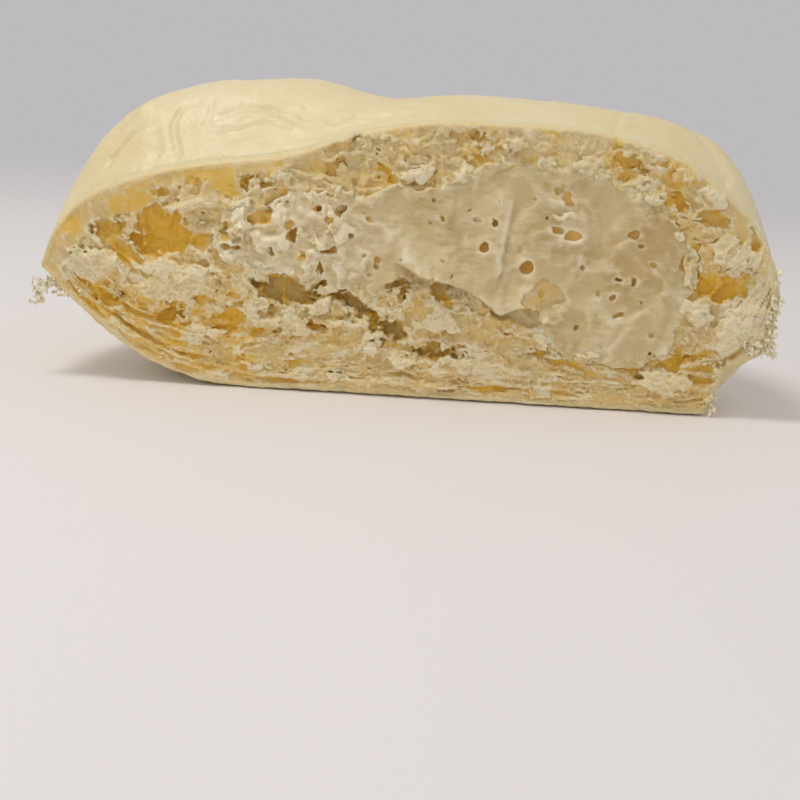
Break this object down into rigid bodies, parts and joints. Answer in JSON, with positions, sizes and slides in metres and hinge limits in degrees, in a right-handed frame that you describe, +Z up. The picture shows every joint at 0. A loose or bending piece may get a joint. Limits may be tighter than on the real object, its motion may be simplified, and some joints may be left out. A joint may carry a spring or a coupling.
{
  "type": "half cream bun",
  "caption": "Half of a soft round white bun, cut down the middle to show its airy crumb and a run of whipped cream filling.",
  "frame": {"origin": "middle of the bounding box, on the surface that the half bun lies on", "axes": "+Z up, +X from the left end to the right end of the cut, +Y from the cut face into the bun"},
  "size_m": [0.0996, 0.0518, 0.0408],
  "materials": {
    "bread": "soft pale bread: softly glossy steamed-looking skin, dull torn crumb",
    "cream": "satin whipped cream with small bubbles"
  },
  "bodies": {
    "root": {"bread": "bread", "cream": "cream"}
  },
  "joints": []
}
